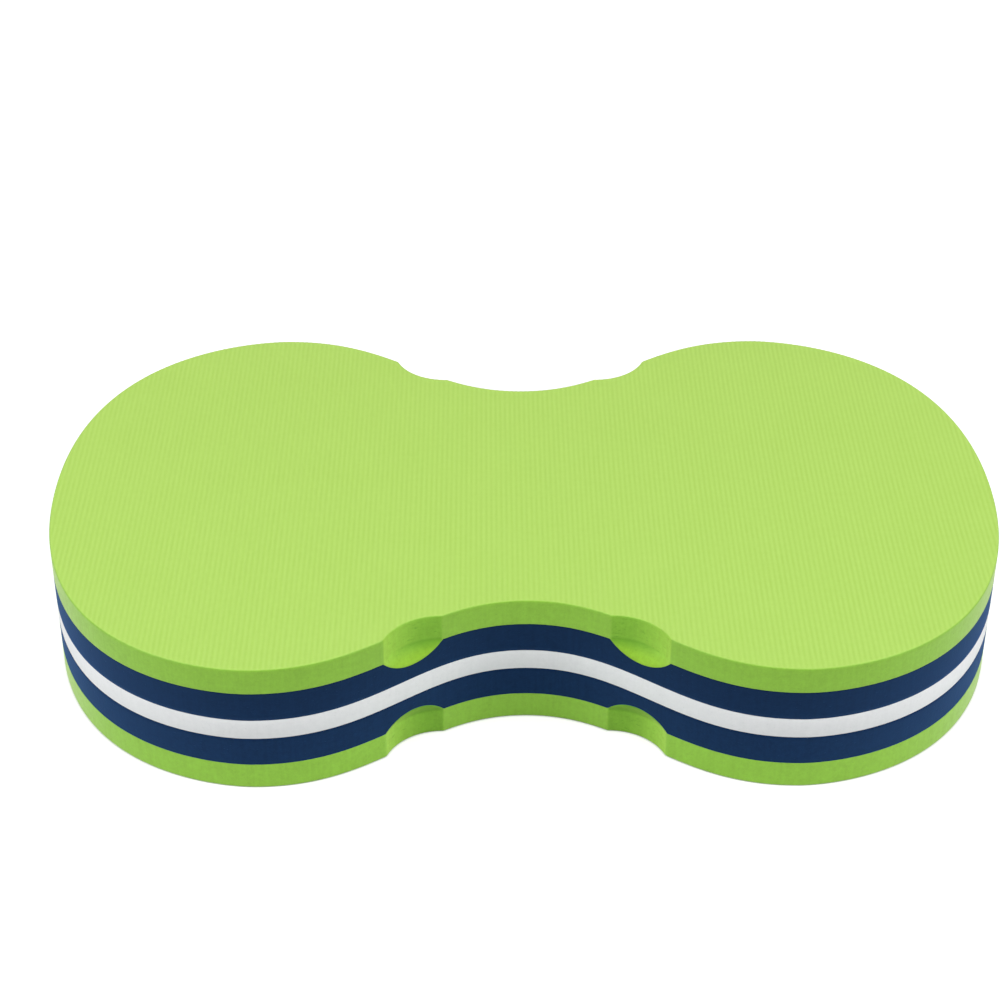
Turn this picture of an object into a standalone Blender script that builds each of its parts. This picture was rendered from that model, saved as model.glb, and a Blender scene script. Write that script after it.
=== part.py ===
"""A pull-kick float for swimming, lying flat on the ground plane.

Five sheets of closed-cell foam are bonded face to face and share one figure-of-eight outline.
From the top they are a cover, a band, the core, a band and a cover. Finger scoops are pressed
into the waist flanks of both covers with a round, domed plunger: each has a round upright wall
and a domed floor. The floor's thin lining of cover foam reaches down into a pocket of the band.

Metres, +Z up, the long way along X, and the origin under the middle of the bottom face.
"""

import math

import bmesh
import bpy
from mathutils import Vector
from mathutils.geometry import interpolate_bezier

# Plan outline, the same on every sheet
LENGTH = 0.335
LOBE_WIDTH = 0.2055
WAIST_WIDTH = 0.132
# Distance between the widest places of the two lobes
LOBE_SPACING = 0.181
# Lengths of the outline's curve handles: longer ones flatten the curve there
END_HANDLE = 0.092
CREST_OUTER_HANDLE = 0.0155
CREST_INNER_HANDLE = 0.0425
WAIST_HANDLE = 0.0365

# Thicknesses of the foam sheets
COVER_THICKNESS = 0.0100
BAND_THICKNESS = 0.0112
CORE_THICKNESS = 0.0077

# Finger scoops, two on each side of the waist in each cover
SCOOP_SPACING = 0.076
SCOOP_RADIUS = 0.020
# How far the round wall reaches into the flank
SCOOP_BITE = 0.0035
# The domed floor is part of a ball on the wall's own axis, centred this far out of the face
DOME_RADIUS = 0.02293
DOME_RISE = 0.0015
LINING_THICKNESS = 0.0005
# Gap between a lining and the pocket that it is pressed into
LINING_CLEARANCE = 0.0003

# How finely the curves are divided
OUTLINE_STEPS = 16
# Steps along a waist flank when a place on it is looked up
FLANK_STEPS = 320
ROUND_STEPS = 72
DOME_STEPS = 15
# How far a cutting tool stands past what it cuts
TOOL_MARGIN = 0.004
# Points that a cut leaves closer together than this are welded
WELD_DISTANCE = 0.000005
# Edges that turn more than this many degrees are drawn sharp
SHARP_ANGLE = 35

COVER_COLOUR = (0.47, 0.74, 0.15, 1.0)
BAND_COLOUR = (0.012, 0.035, 0.095, 1.0)
CORE_COLOUR = (0.72, 0.74, 0.74, 1.0)
FOAM_ROUGHNESS = 0.75


def clear_scene():
    for obj in list(bpy.data.objects):
        bpy.data.objects.remove(obj, do_unlink=True)


def new_collection(name):
    collection = bpy.data.collections.new(name)
    bpy.context.scene.collection.children.link(collection)
    return collection


def foam(name, colour):
    material = bpy.data.materials.new(name)
    material.use_nodes = True
    shader = material.node_tree.nodes["Principled BSDF"]
    shader.inputs["Base Color"].default_value = colour
    shader.inputs["Roughness"].default_value = FOAM_ROUGHNESS
    shader.inputs["Metallic"].default_value = 0.0
    material.diffuse_color = colour
    return material


def outline_knots():
    """The outline's eight curve points, counter-clockwise from +X, each with its two handles."""
    along, across = Vector((1, 0, 0)), Vector((0, 1, 0))
    crest_x, crest_y = LOBE_SPACING / 2 * along, LOBE_WIDTH / 2 * across
    outer, inner = CREST_OUTER_HANDLE * along, CREST_INNER_HANDLE * along
    half = [
        (LENGTH / 2 * along, -END_HANDLE * across, END_HANDLE * across),
        (crest_y + crest_x, outer, -inner),
        (WAIST_WIDTH / 2 * across, WAIST_HANDLE * along, -WAIST_HANDLE * along),
        (crest_y - crest_x, inner, -outer),
    ]
    turned_half = [(-point, -before, -after) for point, before, after in half]
    return [(point, point + before, point + after) for point, before, after in half + turned_half]


def waist_flank(x):
    """The point of the +Y waist flank at this x, and the flank's outward normal there."""
    crest, waist = outline_knots()[1:3]
    flank = interpolate_bezier(crest[0], crest[2], waist[1], waist[0], FLANK_STEPS)
    outer, inner = next(pair for pair in zip(flank, flank[1:]) if pair[1].x <= x)
    along = inner - outer
    point = outer + along * (outer.x - x) / (outer.x - inner.x)
    return point, Vector((along.y, -along.x, 0)).normalized()


def scoop_places():
    """Plan positions of the axes of a cover's four scoops, which stand outside the waist flanks."""
    point, outward = waist_flank(SCOOP_SPACING / 2)
    place = point + outward * (SCOOP_RADIUS - SCOOP_BITE)
    return [(side * place.x, face * place.y) for face in (-1, 1) for side in (-1, 1)]


def as_mesh(curve_object, name, collection):
    """A mesh object with the curve object's shape and its caps welded on. The curve is removed."""
    graph = bpy.context.evaluated_depsgraph_get()
    mesh = bpy.data.meshes.new_from_object(curve_object.evaluated_get(graph))
    mesh.name = name
    form = bmesh.new()
    form.from_mesh(mesh)
    bmesh.ops.remove_doubles(form, verts=form.verts, dist=1e-6)
    bmesh.ops.recalc_face_normals(form, faces=form.faces)
    form.to_mesh(mesh)
    form.free()
    obj = bpy.data.objects.new(name, mesh)
    obj.matrix_world = curve_object.matrix_world
    collection.objects.link(obj)
    curve = curve_object.data
    bpy.data.objects.remove(curve_object)
    bpy.data.curves.remove(curve)
    return obj


def plate(name, one_face, other_face, collection):
    """The outline raised between two heights, both held exactly so that bonded faces meet."""
    low, high = sorted((one_face, other_face))
    curve = bpy.data.curves.new(name, "CURVE")
    curve.dimensions = "2D"
    curve.fill_mode = "BOTH"
    curve.resolution_u = OUTLINE_STEPS
    curve.extrude = (high - low) / 2
    spline = curve.splines.new("BEZIER")
    knots = outline_knots()
    spline.bezier_points.add(len(knots) - 1)
    for knot, (point, before, after) in zip(spline.bezier_points, knots):
        knot.handle_left_type = knot.handle_right_type = "FREE"
        knot.co = point
        knot.handle_left = before
        knot.handle_right = after
    spline.use_cyclic_u = True
    guide = bpy.data.objects.new(name + "_outline", curve)
    collection.objects.link(guide)
    obj = as_mesh(guide, name, collection)
    for vertex in obj.data.vertices:
        vertex.co.z = high if vertex.co.z > 0 else low
    return obj


def as_tool(obj):
    obj.hide_render = True
    obj.display_type = "WIRE"
    return obj


def turned_tool(name, profile, place, face, facing, collection):
    """A closed turned shape that works into the block from a cover's face.

    Its (radius, height) points run down its outer side, with heights counted out of the face.
    The lower cover's tools are mirrored, so that the profile still runs from top to bottom.
    """
    if facing < 0:
        profile = [(radius, -height) for radius, height in reversed(profile)]
    mesh = bpy.data.meshes.new(name)
    points = [(radius, 0, height) for radius, height in profile]
    mesh.from_pydata(points, [(i, i + 1) for i in range(len(points) - 1)], [])
    obj = bpy.data.objects.new(name, mesh)
    obj.location = (*place, face)
    collection.objects.link(obj)
    screw = obj.modifiers.new("turn", "SCREW")
    screw.axis = "Z"
    screw.steps = screw.render_steps = ROUND_STEPS
    screw.use_merge_vertices = True
    screw.merge_threshold = 1e-5
    return as_tool(obj)


def plungers(name, radius, dome_radius, face, facing, collection):
    """Four round tools, one for each scoop, with a straight side and a domed nose."""
    widest = math.asin(radius / dome_radius)
    leans = [widest * (1 - row / DOME_STEPS) for row in range(DOME_STEPS + 1)]
    nose = [(dome_radius * math.sin(lean), DOME_RISE - dome_radius * math.cos(lean)) for lean in leans]
    profile = [(0, TOOL_MARGIN), (radius, TOOL_MARGIN), *nose]
    return [
        turned_tool(f"{name}_{number}", profile, place, face, facing, collection)
        for number, place in enumerate(scoop_places(), 1)
    ]


def add_boolean(obj, tool, operation):
    boolean = obj.modifiers.new(operation.lower() + "_" + tool.name, "BOOLEAN")
    boolean.operation = operation
    boolean.solver = "EXACT"
    boolean.object = tool


def trim_block(name, bond, past, collection):
    """A block wider than the float that takes away all between two heights."""
    obj = bpy.data.objects.new(name, bpy.data.meshes.new(name))
    collection.objects.link(obj)
    block = bmesh.new()
    bmesh.ops.create_cube(block, size=1)
    low, high = sorted((bond, past))
    for vertex in block.verts:
        vertex.co.x *= LENGTH + 2 * TOOL_MARGIN
        vertex.co.y *= LOBE_WIDTH + 2 * TOOL_MARGIN
        vertex.co.z = high if vertex.co.z > 0 else low
    block.to_mesh(obj.data)
    block.free()
    return as_tool(obj)


def weld(mesh):
    """Makes one point of points that a cut has left too close together to carry a face."""
    form = bmesh.new()
    form.from_mesh(mesh)
    bmesh.ops.remove_doubles(form, verts=form.verts, dist=WELD_DISTANCE)
    form.to_mesh(mesh)
    form.free()


def finish(obj, material):
    """Bakes the cuts into the sheet's own mesh, marks its sharp edges and gives it its foam."""
    graph = bpy.context.evaluated_depsgraph_get()
    uncut = obj.data
    obj.data = bpy.data.meshes.new_from_object(obj.evaluated_get(graph))
    obj.data.name = obj.name
    obj.modifiers.clear()
    bpy.data.meshes.remove(uncut)
    weld(obj.data)
    obj.data.materials.append(material)
    obj.data.shade_smooth()
    obj.data.set_sharp_from_angle(angle=math.radians(SHARP_ANGLE))


def make_cover(name, bond, facing, material, parts, tools):
    """A cover with its scoops and their linings: facing is 1 on the top sheet, -1 on the bottom."""
    face = bond + facing * COVER_THICKNESS
    far_side = bond - facing * BAND_THICKNESS
    sheet = plate(name, face, far_side, parts)
    trim = trim_block(name + "_trim", bond, far_side - facing * TOOL_MARGIN, tools)
    lining_radius = DOME_RADIUS + LINING_THICKNESS
    for lining in plungers(name + "_lining", lining_radius, lining_radius, face, facing, tools):
        add_boolean(trim, lining, "DIFFERENCE")
    for tool in [trim, *plungers(name + "_scoop", SCOOP_RADIUS, DOME_RADIUS, face, facing, tools)]:
        add_boolean(sheet, tool, "DIFFERENCE")
    finish(sheet, material)


def make_band(name, bond, core_side, facing, material, parts, tools):
    """A band sheet between its cover's bond and the core, with a pocket for each lining."""
    face = bond + facing * COVER_THICKNESS
    sheet = plate(name, bond, core_side, parts)
    pocket_radius = DOME_RADIUS + LINING_THICKNESS + LINING_CLEARANCE
    for pocket in plungers(name + "_pocket", pocket_radius, pocket_radius, face, facing, tools):
        add_boolean(sheet, pocket, "DIFFERENCE")
    finish(sheet, material)


clear_scene()
float_parts = new_collection("pull_kick_float")
cutters = new_collection("cutters")
cutters.hide_render = True

cover_foam = foam("cover_foam", COVER_COLOUR)
band_foam = foam("band_foam", BAND_COLOUR)
core_foam = foam("core_foam", CORE_COLOUR)

lower_bond = COVER_THICKNESS
core_bottom = lower_bond + BAND_THICKNESS
core_top = core_bottom + CORE_THICKNESS
upper_bond = core_top + BAND_THICKNESS

make_cover("top_sheet", upper_bond, 1, cover_foam, float_parts, cutters)
make_band("upper_band_sheet", upper_bond, core_top, 1, band_foam, float_parts, cutters)
finish(plate("core_sheet", core_bottom, core_top, float_parts), core_foam)
make_band("lower_band_sheet", lower_bond, core_bottom, -1, band_foam, float_parts, cutters)
make_cover("bottom_sheet", lower_bond, -1, cover_foam, float_parts, cutters)
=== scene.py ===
"""The looks of a pull-kick float: five bonded sheets of closed-cell foam on a white floor."""

import math

import bmesh
import bpy
from mathutils import Matrix, Vector
from mathutils.geometry import interpolate_bezier


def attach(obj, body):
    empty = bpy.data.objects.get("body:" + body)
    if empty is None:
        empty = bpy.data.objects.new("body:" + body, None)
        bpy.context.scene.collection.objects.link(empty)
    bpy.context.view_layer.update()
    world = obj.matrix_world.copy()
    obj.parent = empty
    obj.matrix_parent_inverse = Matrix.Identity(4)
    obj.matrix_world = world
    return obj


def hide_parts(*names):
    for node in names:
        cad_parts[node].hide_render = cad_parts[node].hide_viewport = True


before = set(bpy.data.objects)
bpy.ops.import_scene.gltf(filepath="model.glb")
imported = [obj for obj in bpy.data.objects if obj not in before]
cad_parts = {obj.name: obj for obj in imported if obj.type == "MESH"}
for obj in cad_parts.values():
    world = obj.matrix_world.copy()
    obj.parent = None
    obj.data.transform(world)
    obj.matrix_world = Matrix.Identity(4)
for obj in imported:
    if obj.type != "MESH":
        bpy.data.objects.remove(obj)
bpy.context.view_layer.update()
scene = bpy.context.scene


# Camera
# It stands in front of the float, a little to its left, and looks down on it by about 35 degrees.
# It was fitted to the outline and to the lines between the sheets.
def stand_camera(azimuth, elevation, roll, target, distance, lens, sensor):
    around, up, turn = math.radians(azimuth), math.radians(elevation), math.radians(roll)
    back = Vector((math.sin(around) * math.cos(up), -math.cos(around) * math.cos(up), math.sin(up)))
    level = Vector((0, 0, 1)).cross(back).normalized()
    above = back.cross(level)
    right = math.cos(turn) * level + math.sin(turn) * above
    top = math.cos(turn) * above - math.sin(turn) * level
    stand = Matrix((right, top, back)).transposed().to_4x4()
    stand.translation = Vector((*target, 0)) + distance * back
    data = bpy.data.cameras.new("camera")
    data.sensor_width = sensor
    data.lens = lens
    camera = bpy.data.objects.new("camera", data)
    camera.matrix_world = stand
    scene.collection.objects.link(camera)
    scene.camera = camera


stand_camera(
    azimuth=-0.436,
    elevation=34.804,
    roll=0.127,
    target=(-0.0079, 0.0651),
    distance=0.9250,
    lens=84.84,
    sensor=36,
)


# Core sheet
# The middle of the block is one sheet of white foam with a plain knife-cut flank. All five sheets
# are cut to one figure-of-eight outline, so the outline, the cutting tree and the foam start here.
class Wire:
    """A socket of a node tree. Arithmetic on wires adds the Math nodes that work it out."""

    def __init__(self, tree, socket=None):
        self.tree = tree
        self.socket = socket

    def node(self, kind, settings=None, sockets=None, output=0):
        """Adds a node, sets it up, feeds its sockets with values or wires, and gives one output."""
        made = self.tree.nodes.new(kind)
        for name, value in (settings or {}).items():
            setattr(made, name, value)
        for name, value in (sockets or {}).items():
            if isinstance(value, Wire):
                self.tree.links.new(value.socket, made.inputs[name])
            else:
                made.inputs[name].default_value = value
        return Wire(self.tree, made.outputs[output])

    def other(self, output):
        """Another output of the same node."""
        return Wire(self.tree, self.socket.node.outputs[output])

    def maths(self, operation, *values):
        settings = {"operation": operation}
        return self.node("ShaderNodeMath", settings, dict(enumerate((self, *values))))

    def vector(self, operation, *values, output=0):
        settings = {"operation": operation}
        return self.node("ShaderNodeVectorMath", settings, dict(enumerate((self, *values))), output)

    def scaled(self, factor):
        sockets = {"Vector": self, "Scale": factor}
        return self.node("ShaderNodeVectorMath", {"operation": "SCALE"}, sockets)

    def dot(self, other):
        return self.vector("DOT_PRODUCT", other, output="Value")

    def part(self, axis):
        """One of a vector's three parts."""
        return self.node("ShaderNodeSeparateXYZ", {}, {"Vector": self}, axis)

    def root(self):
        """The square root, or zero below zero."""
        return self.maths("MAXIMUM", 0.0).maths("SQRT")

    def clamped(self, low=0.0, high=1.0):
        return self.node("ShaderNodeClamp", {}, {"Value": self, "Min": low, "Max": high})

    def __add__(self, other):
        return self.maths("ADD", other)

    def __sub__(self, other):
        return self.maths("SUBTRACT", other)

    def __rsub__(self, other):
        return self.node("ShaderNodeMath", {"operation": "SUBTRACT"}, {0: other, 1: self})

    def __mul__(self, other):
        return self.maths("MULTIPLY", other)

    def __truediv__(self, other):
        return self.maths("DIVIDE", other)

    def __rtruediv__(self, other):
        return self.node("ShaderNodeMath", {"operation": "DIVIDE"}, {0: other, 1: self})

    def __pow__(self, other):
        return self.maths("POWER", other)

    __radd__ = __add__
    __rmul__ = __mul__


# The stack's thickness, and how deep its bonds lie below either outer face, in metres.
THICKNESS = 0.0501
COVER_BOND = 0.0100
BAND_BOND = 0.0212

# A quarter of the outline is two curves, from the tip over the lobe's crest to the waist.
TIP = (0.1675, 0, 0)
CREST = (0.0905, 0.10275, 0)
WAIST = (0, 0.066, 0)
TIP_HANDLE = 0.092
LOBE_HANDLE = 0.0155
SHOULDER_HANDLE = 0.0425
WAIST_HANDLE = 0.0365
CURVE_POINTS = 4000
# The widest gap between points near the tips, and how far from the long axis that holds.
WIDEST_GAP = 0.0015
CROSSING_REACH = 0.05


def quarter_outline():
    """Fine points and outward normals of the outline's quarter from the +X tip to the +Y waist."""
    tip, crest, waist = Vector(TIP), Vector(CREST), Vector(WAIST)
    along, across = Vector((1, 0, 0)), Vector((0, 1, 0))
    lobe_handles = tip + TIP_HANDLE * across, crest + LOBE_HANDLE * along
    flank_handles = crest - SHOULDER_HANDLE * along, waist + WAIST_HANDLE * along
    lobe = interpolate_bezier(tip, *lobe_handles, crest, CURVE_POINTS)
    flank = interpolate_bezier(crest, *flank_handles, waist, CURVE_POINTS)
    points = lobe + flank[1:]
    fine = []
    for before, point, after in zip(points[:1] + points, points, points[1:] + points[-1:]):
        run = after - before
        fine.append((point, Vector((run.y, -run.x, 0)).normalized()))
    fine[0] = (tip, along)
    fine[-1] = (waist, across)
    return fine


def outline(spacing, rim):
    """The outline as a loose-point mesh, counter-clockwise from the +X tip, with outward normals.

    The points lie at whole multiples of the spacing in X, measured at the rim's inset. Near the
    tips, where the outline runs across the float, there are more of them.
    """
    fine = quarter_outline()[::-1]
    chosen = [fine[0]]
    run, row = 0, 1
    for (last, _), (point, outward) in zip(fine, fine[1:]):
        run += (point - last).length
        if point.x - outward.x * rim >= row * spacing:
            row += 1
            run = 0
            chosen.append((point, outward))
        elif run > WIDEST_GAP and point.y < CROSSING_REACH:
            run = 0
            chosen.append((point, outward))
    chosen[-1] = fine[-1]
    quarter = chosen[::-1]
    half = quarter + [(Vector((-p.x, p.y, 0)), Vector((-n.x, n.y, 0))) for p, n in quarter[-2::-1]]
    whole = half + [(Vector((p.x, -p.y, 0)), Vector((n.x, -n.y, 0))) for p, n in half[-2:0:-1]]
    mesh = bpy.data.meshes.new("outline")
    mesh.from_pydata([point for point, _ in whole], [], [])
    outward = mesh.attributes.new("outward", "FLOAT_VECTOR", "POINT")
    outward.data.foreach_set("vector", [value for _, normal in whole for value in normal])
    return mesh


SCOOPS = {
    "Bond Depth": COVER_BOND,
    "Scoop Axis": (0.028427, 0.094215, 0),
    "Scoop Radius": 0.020,
    "Scoop Middle": 0.0375,
    "Scoop Reach": 0.0092,
    "Dome Rise": -0.0006,
    "Dome Radius": 0.0220,
    "Lining Radius": 0.02222,
    "Crease Softness": 0.0004,
    "Ridge Softness": 0.00016,
    "Crease Shade Width": 0.0009,
    "Lip Width": 0.004,
    "Lip Painted Light": 1.0,
    "Mark Fade": 0.0002,
    "Cut Fade": 0.0004,
    "Ring Step": 0.0009,
}
# The painted crease shade and end light are placed along a scoop: one is its outer end, zero its
# middle, and the end nearer the waist is below zero. The others are shares of the ridge's softness,
# of the painted crease shade and of the painted end light.
WAIST_END = -0.45
OUTER_RIDGE_ROUNDING = 4
CREASE_RUN_OUT = 0.3
CREASE_MIDDLE = 0.95
CREASE_OUTER_LOSS = 1.45
LIP_END_LIGHT_LOSS = 0.8

SAME_DEPTH = 1e-5
WELD_DISTANCE = 1e-6
QUARTER_TURN = math.pi / 2
CREASE_CROWDING = 1.6


def new_tree(name, sockets):
    """A Geometry Nodes tree with named inputs. Gives the tree and a wire from each input."""
    tree = bpy.data.node_groups.new(name, "GeometryNodeTree")
    tree.interface.new_socket("Geometry", in_out="OUTPUT", socket_type="NodeSocketGeometry")
    for socket, kind in sockets:
        tree.interface.new_socket(socket, in_out="INPUT", socket_type="NodeSocket" + kind)
    entry = tree.nodes.new("NodeGroupInput")
    return tree, {socket.name: Wire(tree, socket) for socket in entry.outputs if socket.name}


def close_tree(tree, mesh, material):
    """Ends a tree with a real mesh of one material."""
    mesh = mesh.node("GeometryNodeRealizeInstances", {}, {"Geometry": mesh})
    mesh = mesh.node("GeometryNodeSetMaterial", {}, {"Geometry": mesh, "Material": material})
    leave = tree.nodes.new("NodeGroupOutput")
    tree.links.new(mesh.socket, leave.inputs[0])


def store(mesh, name, value):
    """Keeps a value on the mesh's points for its material."""
    return mesh.node(
        "GeometryNodeStoreNamedAttribute",
        {"data_type": "FLOAT", "domain": "POINT"},
        {"Geometry": mesh, "Name": name, "Value": value},
    )


def sheet_tree():
    """Cuts one sheet of the block. Depths are counted inwards from the face its scoops open to.

    The support is the inset of one more ring inside each soft edge. It keeps the sides' shading
    flat. The rows of the flank crowd together at the scoops' crease.
    """
    tree, given = new_tree(
        "cut_sheet",
        (
            ("Outline", "Geometry"),
            ("Face Height", "Float"),
            ("Facing", "Float"),
            ("Near Depth", "Float"),
            ("Far Depth", "Float"),
            ("Bond Depth", "Float"),
            ("Near Radius", "Float"),
            ("Far Radius", "Float"),
            ("Support", "Float"),
            ("Arc Rows", "Int"),
            ("Rows Above Crease", "Int"),
            ("Rows Below Crease", "Int"),
            ("Least Crease", "Float"),
            ("Near Rings", "Int"),
            ("Far Rings", "Int"),
            ("Ring Step", "Float"),
            ("Scoop Axis", "Vector"),
            ("Scoop Radius", "Float"),
            ("Scoop Middle", "Float"),
            ("Scoop Reach", "Float"),
            ("Dome Rise", "Float"),
            ("Dome Radius", "Float"),
            ("Lining Radius", "Float"),
            ("Crease Softness", "Float"),
            ("Ridge Softness", "Float"),
            ("Crease Shade Width", "Float"),
            ("Lip Width", "Float"),
            ("Lip Painted Light", "Float"),
            ("Mark Fade", "Float"),
            ("Cut Fade", "Float"),
            ("Foam", "Material"),
        ),
    )
    start = given["Outline"]

    def reach(place, outward, radius, depth):
        """How far inwards of a place a ball on the scoop's axis reaches. A miss is negative."""
        offset = place.vector("SUBTRACT", given["Scoop Axis"])
        lean = offset.dot(outward)
        room = lean * lean - offset.dot(offset) + radius * radius - depth * depth
        return lean + room.root() - room.maths("LESS_THAN", 0.0)

    def first_quadrant(place, outward):
        """The float's four quarters are alike, so the scoops are worked out in one of them."""
        return place.vector("ABSOLUTE"), outward.vector("MULTIPLY", place.vector("SIGN"))

    def scoop(place, outward, depth):
        """How deep the scoops lie inside the flank, and their painted shade and light there."""
        level = crease_depth(place, outward)
        place, outward = first_quadrant(place, outward)
        wall = reach(place, outward, given["Scoop Radius"], 0.0)
        floor = reach(place, outward, given["Dome Radius"], depth + given["Dome Rise"])
        outer = (place.part("X") - given["Scoop Middle"]) / given["Scoop Reach"]
        outer = outer.clamped(WAIST_END, 1.0)
        inside = (wall / given["Mark Fade"]).clamped()
        ridge = given["Ridge Softness"] * (1 + outer.clamped() * OUTER_RIDGE_ROUNDING)
        deep = wall.maths("SMOOTH_MIN", floor, given["Crease Softness"])
        deep = deep.maths("SMOOTH_MAX", 0.0, ridge)
        # Painted shade in a band round the crease, fading towards the scoop's outer end.
        below = (depth - level) / given["Crease Shade Width"]
        crease = (1 + below).clamped() * (1 - below * CREASE_RUN_OUT).clamped()
        crease = crease * (CREASE_MIDDLE - outer * CREASE_OUTER_LOSS).clamped()
        # Near the lip: painted light on the top cover's scoops, painted shade on the bottom cover's.
        lip = ((depth - level) / given["Lip Width"]).clamped()
        # Painted light, stronger towards the scoop's outer end and weaker at the lip.
        painted_end_light = outer * (1 - lip * LIP_END_LIGHT_LOSS)
        return deep, crease * inside, painted_end_light * inside, lip * inside * given["Lip Painted Light"]

    def dome_depth(inner, radius):
        """How far below the face a dome on the scoop's axis reaches at a place."""
        offset = inner.vector("SUBTRACT", given["Scoop Axis"])
        return (radius * radius - offset.dot(offset)).root() - given["Dome Rise"]

    def crease_depth(place, outward):
        """Where the scoop's upright wall meets its floor."""
        place, outward = first_quadrant(place, outward)
        wall = reach(place, outward, given["Scoop Radius"], 0.0)
        foot = place.vector("SUBTRACT", outward.scaled(wall.maths("MAXIMUM", 0.0)))
        return dome_depth(foot, given["Dome Radius"])

    def edge_depth(place, outward, nominal, inset):
        """A sheet's edge depth at an inset. At the bond it follows the linings under the scoops."""
        inner = place.vector("SUBTRACT", outward.scaled(inset)).vector("ABSOLUTE")
        lining = dome_depth(inner, given["Lining Radius"])
        at_bond = nominal.maths("COMPARE", given["Bond Depth"], SAME_DEPTH)
        return nominal.maths("MAXIMUM", lining * at_bond)

    def set_down(mesh, place, outward, inset, depth, mirror=None):
        """Puts each point this far inside the flank and below the face."""
        deep, crease, painted_end_light, lip = scoop(place, outward, depth)
        spot = place.vector("SUBTRACT", outward.scaled(inset + deep))
        if mirror is not None:
            spot = spot.vector("MULTIPLY", mirror)
        height = given["Face Height"] - given["Facing"] * depth
        lift = height.node("ShaderNodeCombineXYZ", {}, {"Z": height})
        sockets = {"Geometry": mesh, "Position": spot.vector("ADD", lift)}
        moved = mesh.node("GeometryNodeSetPosition", {}, sockets)
        moved = store(moved, "scooped", (deep / given["Cut Fade"]).clamped())
        moved = store(moved, "painted_crease_shade", crease)
        moved = store(moved, "painted_end_light", painted_end_light)
        return store(moved, "painted_lip_tone", lip)

    def read_outline(number):
        """The outline's point and outward normal with this number."""
        spots = start.node("GeometryNodeInputPosition")
        normals = start.node(
            "GeometryNodeInputNamedAttribute", {"data_type": "FLOAT_VECTOR"}, {"Name": "outward"}
        )
        return [
            number.node(
                "GeometryNodeSampleIndex",
                {"data_type": "FLOAT_VECTOR"},
                {"Geometry": given["Outline"], "Value": value, "Index": number},
            )
            for value in (spots, normals)
        ]

    count = start.node("GeometryNodeAttributeDomainSize", {}, {"Geometry": start}, "Point Count")
    index = start.node("GeometryNodeInputIndex")

    def grid_of(columns, rows):
        """A grid, with each point's column and row. Half is added so that none rounds down."""
        grid = start.node("GeometryNodeMeshGrid", {}, {"Vertices X": columns, "Vertices Y": rows})
        column = ((index + 0.5) / rows).maths("FLOOR")
        return grid, column, index - column * rows

    def flank():
        """The upright band round the sheet, from one softened edge to the other."""
        above, below = given["Rows Above Crease"], given["Rows Below Crease"]
        rows = given["Arc Rows"] * 2 + above + below + 3
        grid, column, row = grid_of(count + 1, rows)
        place, outward = read_outline(column.maths("MODULO", count))
        near_turn = ((row - 1) / given["Arc Rows"]).clamped() * QUARTER_TURN
        far_turn = ((rows - 2 - row) / given["Arc Rows"]).clamped() * QUARTER_TURN
        ends = (1 - row).clamped() + (row - rows + 2).clamped()
        inset = (
            given["Near Radius"] * (1 - near_turn.maths("SINE"))
            + given["Far Radius"] * (1 - far_turn.maths("SINE"))
            + given["Support"] * ends
        )
        near = edge_depth(place, outward, given["Near Depth"], inset)
        far = edge_depth(place, outward, given["Far Depth"], inset)
        straight = far - near - given["Near Radius"] - given["Far Radius"]
        crease = (crease_depth(place, outward) - near - given["Near Radius"]) / straight
        crease = crease.maths("MAXIMUM", given["Least Crease"])
        plain_row = row - 1 - given["Arc Rows"]
        upper = 1 - (1 - (plain_row / above).clamped()) ** CREASE_CROWDING
        lower = ((plain_row - above) / below).clamped() ** CREASE_CROWDING
        down = crease * upper + (1 - crease) * lower
        depth = (
            near
            + given["Near Radius"] * (1 - near_turn.maths("COSINE"))
            + straight * down
            + given["Far Radius"] * far_turn.maths("COSINE")
        )
        return set_down(grid, place, outward, inset, depth)

    def side(nominal, radius, rings):
        """A flat side, in columns across the float, with rings that follow the linings."""
        rows = rings * 2 + 2
        grid, column, row = grid_of(count / 2 + 1, rows)
        ring = row.maths("MINIMUM", rows - 1 - row)
        place, outward = read_outline(column)
        inset = radius + given["Support"] + ring * given["Ring Step"]
        depth = edge_depth(place, outward, nominal, inset)
        beyond = row.maths("GREATER_THAN", rings)
        mirror = row.node("ShaderNodeCombineXYZ", {}, {"X": 1.0, "Y": 1 - 2 * beyond, "Z": 1.0})
        return set_down(grid, place, outward, inset, depth, mirror)

    joined = tree.nodes.new("GeometryNodeJoinGeometry")
    for form in (
        flank(),
        side(given["Near Depth"], given["Near Radius"], given["Near Rings"]),
        side(given["Far Depth"], given["Far Radius"], given["Far Rings"]),
    ):
        tree.links.new(form.socket, joined.inputs[0])
    whole = Wire(tree, joined.outputs[0])
    sockets = {"Geometry": whole, "Distance": WELD_DISTANCE}
    close_tree(tree, whole.node("GeometryNodeMergeByDistance", {}, sockets), given["Foam"])
    return tree


def add_nodes_modifier(obj, tree, values):
    modifier = obj.modifiers.new(tree.name, "NODES")
    modifier.node_group = tree
    for item in tree.interface.items_tree:
        if item.in_out == "INPUT" and item.name in values:
            modifier[item.identifier] = values[item.name]


def bake(obj):
    """Turns a piece's modifiers into a plain smooth mesh that faces outwards."""
    graph = bpy.context.evaluated_depsgraph_get()
    mesh = bpy.data.meshes.new_from_object(obj.evaluated_get(graph))
    form = bmesh.new()
    form.from_mesh(mesh)
    bmesh.ops.recalc_face_normals(form, faces=form.faces)
    form.to_mesh(mesh)
    form.free()
    mesh.shade_smooth()
    mesh.name = obj.name
    obj.data = mesh
    obj.modifiers.clear()


CUT_SHEET = sheet_tree()


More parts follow.
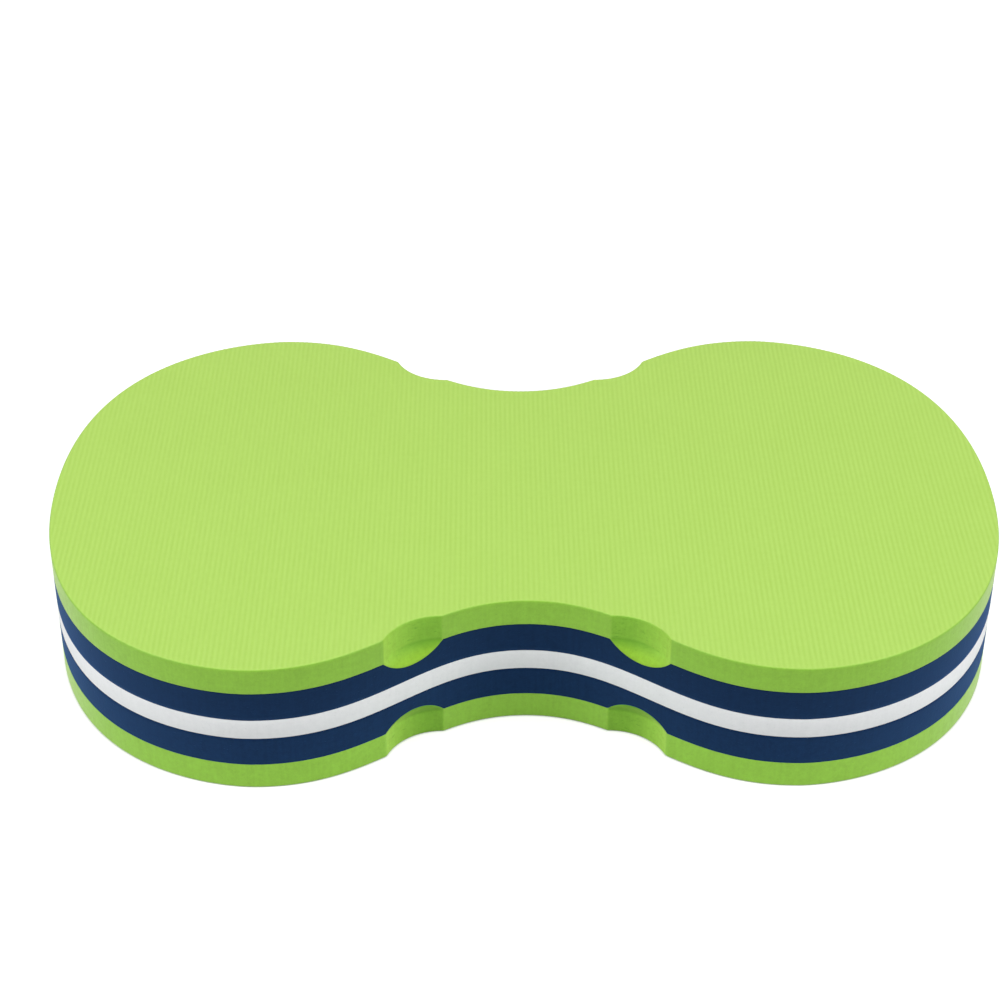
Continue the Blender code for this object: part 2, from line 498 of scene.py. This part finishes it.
def sheet(name, node, outline_mesh, material, sizes, extra_tree=None, extra_sizes=None):
    """Cuts and bakes one sheet, in place of its CAD node."""
    obj = bpy.data.objects.new(name, outline_mesh)
    scene.collection.objects.link(obj)
    add_nodes_modifier(obj, CUT_SHEET, {**SCOOPS, **sizes, "Foam": material})
    if extra_tree:
        add_nodes_modifier(obj, extra_tree, extra_sizes)
    bake(obj)
    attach(obj, "root")
    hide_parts(node)


def mixed(factor, first, second):
    """A colour between two colours."""
    ends = [value if isinstance(value, Wire) else (*value, 1.0) for value in (first, second)]
    settings = {"data_type": "RGBA"}
    return factor.node("ShaderNodeMix", settings, {0: factor, 6: ends[0], 7: ends[1]}, 2)


def noise(spot, scale, detail=2.0):
    """Noise with the given number of blotches in a metre, from about -0.5 to 0.5."""
    made = spot.node("ShaderNodeTexNoise", {}, {"Vector": spot, "Scale": scale, "Detail": detail})
    return made - 0.5


def stored(wire, name):
    """A value that a tree kept on the piece's points."""
    return wire.node("ShaderNodeAttribute", {"attribute_name": name}, {}, "Fac")


# Blotches in a metre for each layer of the foam, and how much the layer shades and raises it.
CLOUDS, CLOUD_SHADE = 60.0, 0.5
MOTTLES, MOTTLE_DETAIL, MOTTLE_SHADE, MOTTLE_RELIEF = 520.0, 3.0, 1.2, 0.4
GRAINS, GRAIN_SHADE, GRAIN_RELIEF = 1700.0, 0.9, 0.5
STREAKS, STREAK_SHADE, STREAK_RELIEF = 900.0, 0.8, 0.3
STREAK_STRETCH = (1.0, 1.0, 0.07)
CELLS, PORE_SHARPNESS, CLOSED_CELLS, PORE_SHADE = 900.0, 3.2, 0.88, 0.8
MIDDLE_SHADE = 0.4
CUT_ROUGHNESS, SHADE_ROUGHNESS = 0.62, 0.1
FUZZ_ROUGHNESS = 0.5
BUMP_STRENGTH, BUMP_HEIGHT = 0.6, 0.0001


def foam(
    name, colour, pore_colour, grain=1.0, haze=0.3, fuzz=0.0, fuzz_tint=(1.0, 1.0, 1.0), painted_height_shade=0.0
):
    """Closed-cell foam as a knife leaves it: mottled, with knife drag, fine grain and a few pores.

    The haze is how much it reflects, and the fuzz how much sheen it has. The last argument paints
    shade and light by height: the share of its tone by which the flank grows darker in each metre
    above its middle, and lighter below it. The scoops have none.
    """
    material = bpy.data.materials.new(name)
    material.use_nodes = True
    shader = material.node_tree.nodes["Principled BSDF"]
    shader.inputs["Specular IOR Level"].default_value = haze
    shader.inputs["Sheen Weight"].default_value = fuzz
    shader.inputs["Sheen Roughness"].default_value = FUZZ_ROUGHNESS
    shader.inputs["Sheen Tint"].default_value = (*fuzz_tint, 1.0)
    spot = Wire(material.node_tree).node("ShaderNodeTexCoord", output="Object")
    cloud = noise(spot, CLOUDS)
    mottle = noise(spot, MOTTLES, MOTTLE_DETAIL)
    dust = noise(spot, GRAINS)
    drag = noise(spot.vector("MULTIPLY", STREAK_STRETCH), STREAKS)
    cells = spot.node("ShaderNodeTexVoronoi", {}, {"Vector": spot, "Scale": CELLS})
    chance = cells.node("ShaderNodeSeparateColor", {}, {"Color": cells.other("Color")}, "Red")
    pore = (1.0 - cells * PORE_SHARPNESS).clamped() * chance.maths("GREATER_THAN", CLOSED_CELLS)
    shade = cloud * CLOUD_SHADE + mottle * MOTTLE_SHADE + dust * GRAIN_SHADE + drag * STREAK_SHADE
    shade = shade * grain + pore * PORE_SHADE
    tone = mixed((MIDDLE_SHADE + shade).clamped(), colour, pore_colour)
    scooped = stored(spot, "scooped")
    # Painted shade and light: darker above the middle, lighter towards the floor.
    painted_shade_by_height = (spot.part("Z") - THICKNESS / 2) * painted_height_shade * (1 - scooped)
    look = {
        "spot": spot,
        "scooped": scooped,
        "tone": tone.scaled(1 - painted_shade_by_height),
        "roughness": CUT_ROUGHNESS + shade * SHADE_ROUGHNESS,
        "height": dust * GRAIN_RELIEF + mottle * MOTTLE_RELIEF + drag * STREAK_RELIEF - pore,
    }
    return material, shader, look


def finish_foam(material, shader, look):
    """Feeds a foam's tone, roughness and relief to its shader."""
    relief = look["height"]
    sockets = {"Strength": BUMP_STRENGTH, "Distance": BUMP_HEIGHT, "Height": relief}
    bump = relief.node("ShaderNodeBump", {}, sockets)
    fed = {"Base Color": look["tone"], "Roughness": look["roughness"], "Normal": bump}
    for name, wire in fed.items():
        material.node_tree.links.new(wire.socket, shader.inputs[name])
    return material


CORE_FOAM = finish_foam(
    *foam("core_foam", colour=(0.83, 0.845, 0.855), pore_colour=(0.73, 0.75, 0.76), grain=0.6)
)
BONDED_EDGE = 0.00014
CORE_SIZES = {
    "Near Depth": BAND_BOND,
    "Far Depth": THICKNESS - BAND_BOND,
    "Near Radius": BONDED_EDGE,
    "Far Radius": BONDED_EDGE,
    "Support": 0.0003,
    "Arc Rows": 2,
    "Rows Above Crease": 1,
    "Rows Below Crease": 2,
    "Least Crease": 0.0,
    "Near Rings": 0,
    "Far Rings": 0,
}
sheet(
    "core_layer",
    "core_sheet",
    outline(spacing=0.0018, rim=0.0),
    CORE_FOAM,
    {**CORE_SIZES, "Face Height": THICKNESS, "Facing": 1.0},
)


# Navy bands
# Two thicker sheets of navy foam are bonded to the core's sides, above and below. Where the
# covers are pressed in for the finger scoops, the bands give way under the green linings.
BAND_FOAM = finish_foam(
    *foam(
        "band_foam",
        colour=(0.0020, 0.0124, 0.0408),
        pore_colour=(0.0040, 0.0200, 0.0612),
        haze=0.025,
        fuzz=0.6,
        fuzz_tint=(0.17, 0.40, 0.95),
        painted_height_shade=12.0,
    )
)
BAND_OUTLINE = outline(spacing=0.0006, rim=0.0)
BAND_SIZES = {
    **CORE_SIZES,
    "Near Depth": COVER_BOND,
    "Far Depth": BAND_BOND,
    "Rows Below Crease": 12,
    "Near Rings": 6,
}
for name, node, face, facing in (
    ("upper_band_layer", "upper_band_sheet", THICKNESS, 1.0),
    ("lower_band_layer", "lower_band_sheet", 0.0, -1.0),
):
    sizes = {**BAND_SIZES, "Face Height": face, "Facing": facing}
    sheet(name, node, BAND_OUTLINE, BAND_FOAM, sizes)


# Green covers
# The outer sheets are lime green foam with a skin pressed into fine ribs across the float. Four
# finger scoops are milled and pressed into the waist edges of each, down into the band below.
RIB_PITCH = 0.00178
RIB_COLUMNS = 6
RIB_DEPTH = 0.00012
SKIN_RIM = 0.0003
COVER_SOFT_EDGE = 0.0006


def rib_wave(along, pitch):
    """Half of a cosine wave, from -0.5 between two ribs to 0.5 on the crest of one."""
    return (along / pitch * (2 * math.pi)).maths("COSINE") * 0.5


def ribs_tree():
    """Presses ribs into a cover's skin. They run across the float and die away at its rim."""
    tree, given = new_tree(
        "press_ribs",
        (
            ("Cover", "Geometry"),
            ("Face Height", "Float"),
            ("Facing", "Float"),
            ("Pitch", "Float"),
            ("Rib Depth", "Float"),
            ("Rim", "Float"),
            ("Foam", "Material"),
        ),
    )
    cover = given["Cover"]
    spot = cover.node("GeometryNodeInputPosition")
    along = spot.part("X")
    down = (given["Face Height"] - along.other("Z")) * given["Facing"]
    skin = (1 - down / given["Rim"]).clamped()
    groove = 0.5 - rib_wave(along, given["Pitch"])
    drop = given["Facing"] * given["Rib Depth"] * groove * skin * -1
    offset = drop.node("ShaderNodeCombineXYZ", {}, {"Z": drop})
    ribbed = store(cover, "skin", skin)
    ribbed = ribbed.node("GeometryNodeSetPosition", {}, {"Geometry": ribbed, "Offset": offset})
    close_tree(tree, ribbed, given["Foam"])
    return tree


# Darker marks on the scoops' walls: their colour and strength, their number in a metre, and the
# noise from which they start. The crease between a scoop's wall and floor has painted shade too.
MARK_COLOUR, MARK_STRENGTH = (0.150, 0.390, 0.030), 0.7
MARKS, MARK_DETAIL, MARK_STRETCH = 1500.0, 3.0, (0.3, 0.3, 1.0)
MARK_START, MARK_SHARPNESS = 0.11, 9.0
CREASE_SHADE_COLOUR, CREASE_SHADE_STRENGTH = (0.140, 0.370, 0.022), 0.6
# What the painted light at the scoops' outer ends, the painted light on the upper lips and the
# painted shade on the lower lips add to red, green and blue.
SCOOP_TONES = {"X": (0.34, 0.12, -0.40), "Y": (0.195, 0.05, -0.20), "Z": (0.45, -0.36, -0.45)}
# The skin's colour between the ribs, darker as painted shade, and on them, paler as a painted
# highlight, and how uneven the ribs, the skin and its clouds are.
GROOVE_SHADE_COLOUR, CREST_HIGHLIGHT_COLOUR = (0.4417, 0.7120, 0.1260), (0.4881, 0.7580, 0.1560)
RIB_TONE, RIB_BLOTCHES, RIB_UNEVEN = 0.8, 150.0, 1.6
SKIN_BLOTCHES, SKIN_UNEVEN = 420.0, 0.7
SKIN_CLOUDS, SKIN_CLOUDED = 40.0, 0.4
# The plain cut flank is smoother than the skin, and the lower lips with painted shade are rougher.
KNIFE_POLISH = 0.26
SHADED_LIP_ROUGHNESS = 0.3


def cover_foam():
    """The cut foam of the flanks, with the ribbed skin over it and darker marks in the scoops."""
    material, shader, look = foam(
        "cover_foam",
        colour=(0.286, 0.582, 0.0560),
        pore_colour=(0.233, 0.474, 0.0455),
        haze=0.2,
        fuzz=0.15,
        fuzz_tint=(1.0, 0.55, 0.40),
        painted_height_shade=2.5,
    )
    spot, scooped = look["spot"], look["scooped"]
    skin, painted_lip_tone = stored(spot, "skin"), stored(spot, "painted_lip_tone")
    painted_crease_shade, painted_end_light = stored(spot, "painted_crease_shade"), stored(spot, "painted_end_light")
    # Painted light on the top cover's scoop lips and painted shade on the bottom cover's.
    painted_lip_light, painted_lip_shade = painted_lip_tone.clamped(), (painted_lip_tone * -1).clamped()
    marks = noise(spot.vector("MULTIPLY", MARK_STRETCH), MARKS, MARK_DETAIL)
    marks = ((marks - MARK_START) * MARK_SHARPNESS).clamped()
    marks = marks * (scooped * (1 - painted_lip_light - painted_lip_shade)) * MARK_STRENGTH
    cut = mixed(marks, look["tone"], MARK_COLOUR)
    # Painted shade in the crease between wall and floor.
    cut = mixed(painted_crease_shade * CREASE_SHADE_STRENGTH, cut, CREASE_SHADE_COLOUR)
    gain = {
        channel: 1 + painted_end_light * at_ends + painted_lip_light * at_upper_lip + painted_lip_shade * at_lower_lip
        for channel, (at_ends, at_upper_lip, at_lower_lip) in SCOOP_TONES.items()
    }
    cut = cut.vector("MULTIPLY", painted_end_light.node("ShaderNodeCombineXYZ", {}, gain))
    crest = rib_wave(spot.part("X"), RIB_PITCH)
    rib = crest * (RIB_TONE + noise(spot, RIB_BLOTCHES) * RIB_UNEVEN)
    rib = rib + noise(spot, SKIN_BLOTCHES) * SKIN_UNEVEN + noise(spot, SKIN_CLOUDS) * SKIN_CLOUDED
    # Painted shade in the grooves and a painted highlight on the crests.
    pressed = mixed((rib + 0.5).clamped(), GROOVE_SHADE_COLOUR, CREST_HIGHLIGHT_COLOUR)
    look["tone"] = mixed(skin, cut, pressed)
    polish = (1 - skin) * (1 - scooped) * KNIFE_POLISH
    look["roughness"] = look["roughness"] - polish + painted_lip_shade * SHADED_LIP_ROUGHNESS
    return finish_foam(material, shader, look)


COVER_FOAM = cover_foam()
PRESS_RIBS = ribs_tree()
COVER_OUTLINE = outline(spacing=RIB_PITCH / RIB_COLUMNS, rim=COVER_SOFT_EDGE)
COVER_SIZES = {
    "Near Depth": 0.0,
    "Far Depth": COVER_BOND,
    "Near Radius": COVER_SOFT_EDGE,
    "Far Radius": BONDED_EDGE,
    "Support": 0.0004,
    "Arc Rows": 3,
    "Rows Above Crease": 12,
    "Rows Below Crease": 9,
    "Least Crease": 0.62,
    "Near Rings": 0,
    "Far Rings": 6,
}
RIB_SIZES = {"Pitch": RIB_PITCH, "Rib Depth": RIB_DEPTH, "Rim": SKIN_RIM, "Foam": COVER_FOAM}
# The top cover's scoop lips get painted light, the bottom cover's painted shade.
for name, node, face, facing, lip_painted_light in (
    ("top_cover", "top_sheet", THICKNESS, 1.0, 1.0),
    ("bottom_cover", "bottom_sheet", 0.0, -1.0, -1.0),
):
    place = {"Face Height": face, "Facing": facing, "Lip Painted Light": lip_painted_light}
    sizes, ribs = {**COVER_SIZES, **place}, {**RIB_SIZES, **place}
    sheet(name, node, COVER_OUTLINE, COVER_FOAM, sizes, PRESS_RIBS, ribs)


# Floor and light
# A wide pale floor keeps the float's soft shadow, has a painted shadow as a dark line where the two
# touch and glows white further out. Five soft boxes light it: one overhead, one high at each side
# and one low at each front corner. The room shows white behind it all.
def seen_directly(tree):
    """One for what the camera sees, directly or in something glossy or clear, and zero for light."""
    seen = Wire(tree).node("ShaderNodeLightPath", output="Is Camera Ray")
    glossy, clear = seen.other("Is Glossy Ray"), seen.other("Is Transmission Ray")
    return seen.maths("MAXIMUM", glossy).maths("MAXIMUM", clear)


FLOOR_GREY = 0.60
FLOOR_ROUGHNESS = 0.9
FLOOR_REACH = 6.0
# The floor's glow near the float and far from it, and the distances between which it rises.
NEAR_GLOW, FAR_GLOW = 0.69, 1.0
GLOW_START, GLOW_END = 0.875, 1.5
# Samples and reach of the painted shadow where the float touches the floor.
TOUCH_SAMPLES, TOUCH_REACH = 8, 0.0007


def floor_material():
    material = bpy.data.materials.new("white_floor")
    material.use_nodes = True
    shader = material.node_tree.nodes["Principled BSDF"]
    shader.inputs["Base Color"].default_value = (FLOOR_GREY, FLOOR_GREY, FLOOR_GREY, 1.0)
    shader.inputs["Roughness"].default_value = FLOOR_ROUGHNESS
    shader.inputs["Specular IOR Level"].default_value = 0.0
    spot = Wire(material.node_tree).node("ShaderNodeTexCoord", output="Object")
    away = spot.vector("LENGTH", output="Value")
    distant = ((away - GLOW_START) / (GLOW_END - GLOW_START)).clamped()
    settings, sockets = {"samples": TOUCH_SAMPLES}, {"Distance": TOUCH_REACH}
    # Painted shadow: the floor's glow darkens in a thin line where the float touches it.
    painted_contact_shadow = spot.node("ShaderNodeAmbientOcclusion", settings, sockets, "AO")
    glow = seen_directly(material.node_tree) * (NEAR_GLOW + distant * (FAR_GLOW - NEAR_GLOW))
    glow = glow * painted_contact_shadow
    glow = glow.node("ShaderNodeCombineColor", {}, {"Red": glow, "Green": glow, "Blue": glow})
    material.node_tree.links.new(glow.socket, shader.inputs["Emission Color"])
    shader.inputs["Emission Strength"].default_value = 1.0
    return material


floor_mesh = bpy.data.meshes.new("floor")
floor_form = bmesh.new()
bmesh.ops.create_grid(floor_form, x_segments=8, y_segments=8, size=FLOOR_REACH)
floor_form.to_mesh(floor_mesh)
floor_form.free()
floor = bpy.data.objects.new("floor", floor_mesh)
floor_mesh.materials.append(floor_material())
scene.collection.objects.link(floor)

LIGHT_AIM = Vector((0, 0, 0.02))
for name, place, size, power in (
    ("overhead", (0.0, -0.1, 1.6), (1.2, 1.2), 8.1),
    ("left_side", (-1.34, -0.36, 0.98), (0.9, 0.9), 15.6),
    ("right_side", (1.34, -0.36, 0.98), (0.9, 0.9), 15.6),
    ("left_corner", (-1.20, -1.20, 0.45), (1.0, 0.5), 6.8),
    ("right_corner", (1.20, -1.20, 0.45), (1.0, 0.5), 6.8),
):
    data = bpy.data.lights.new(name, "AREA")
    data.shape = "RECTANGLE"
    data.size, data.size_y = size
    data.energy = power
    soft_box = bpy.data.objects.new(name, data)
    soft_box.location = place
    soft_box.rotation_euler = (LIGHT_AIM - Vector(place)).to_track_quat("-Z", "Y").to_euler()
    scene.collection.objects.link(soft_box)

room = bpy.data.worlds.new("pale_room")
room.use_nodes = True
background = room.node_tree.nodes["Background"]
background.inputs["Color"].default_value = (1.0, 1.0, 1.0, 1.0)
room.node_tree.links.new(seen_directly(room.node_tree).socket, background.inputs["Strength"])
scene.world = room

scene.view_settings.view_transform = "Standard"
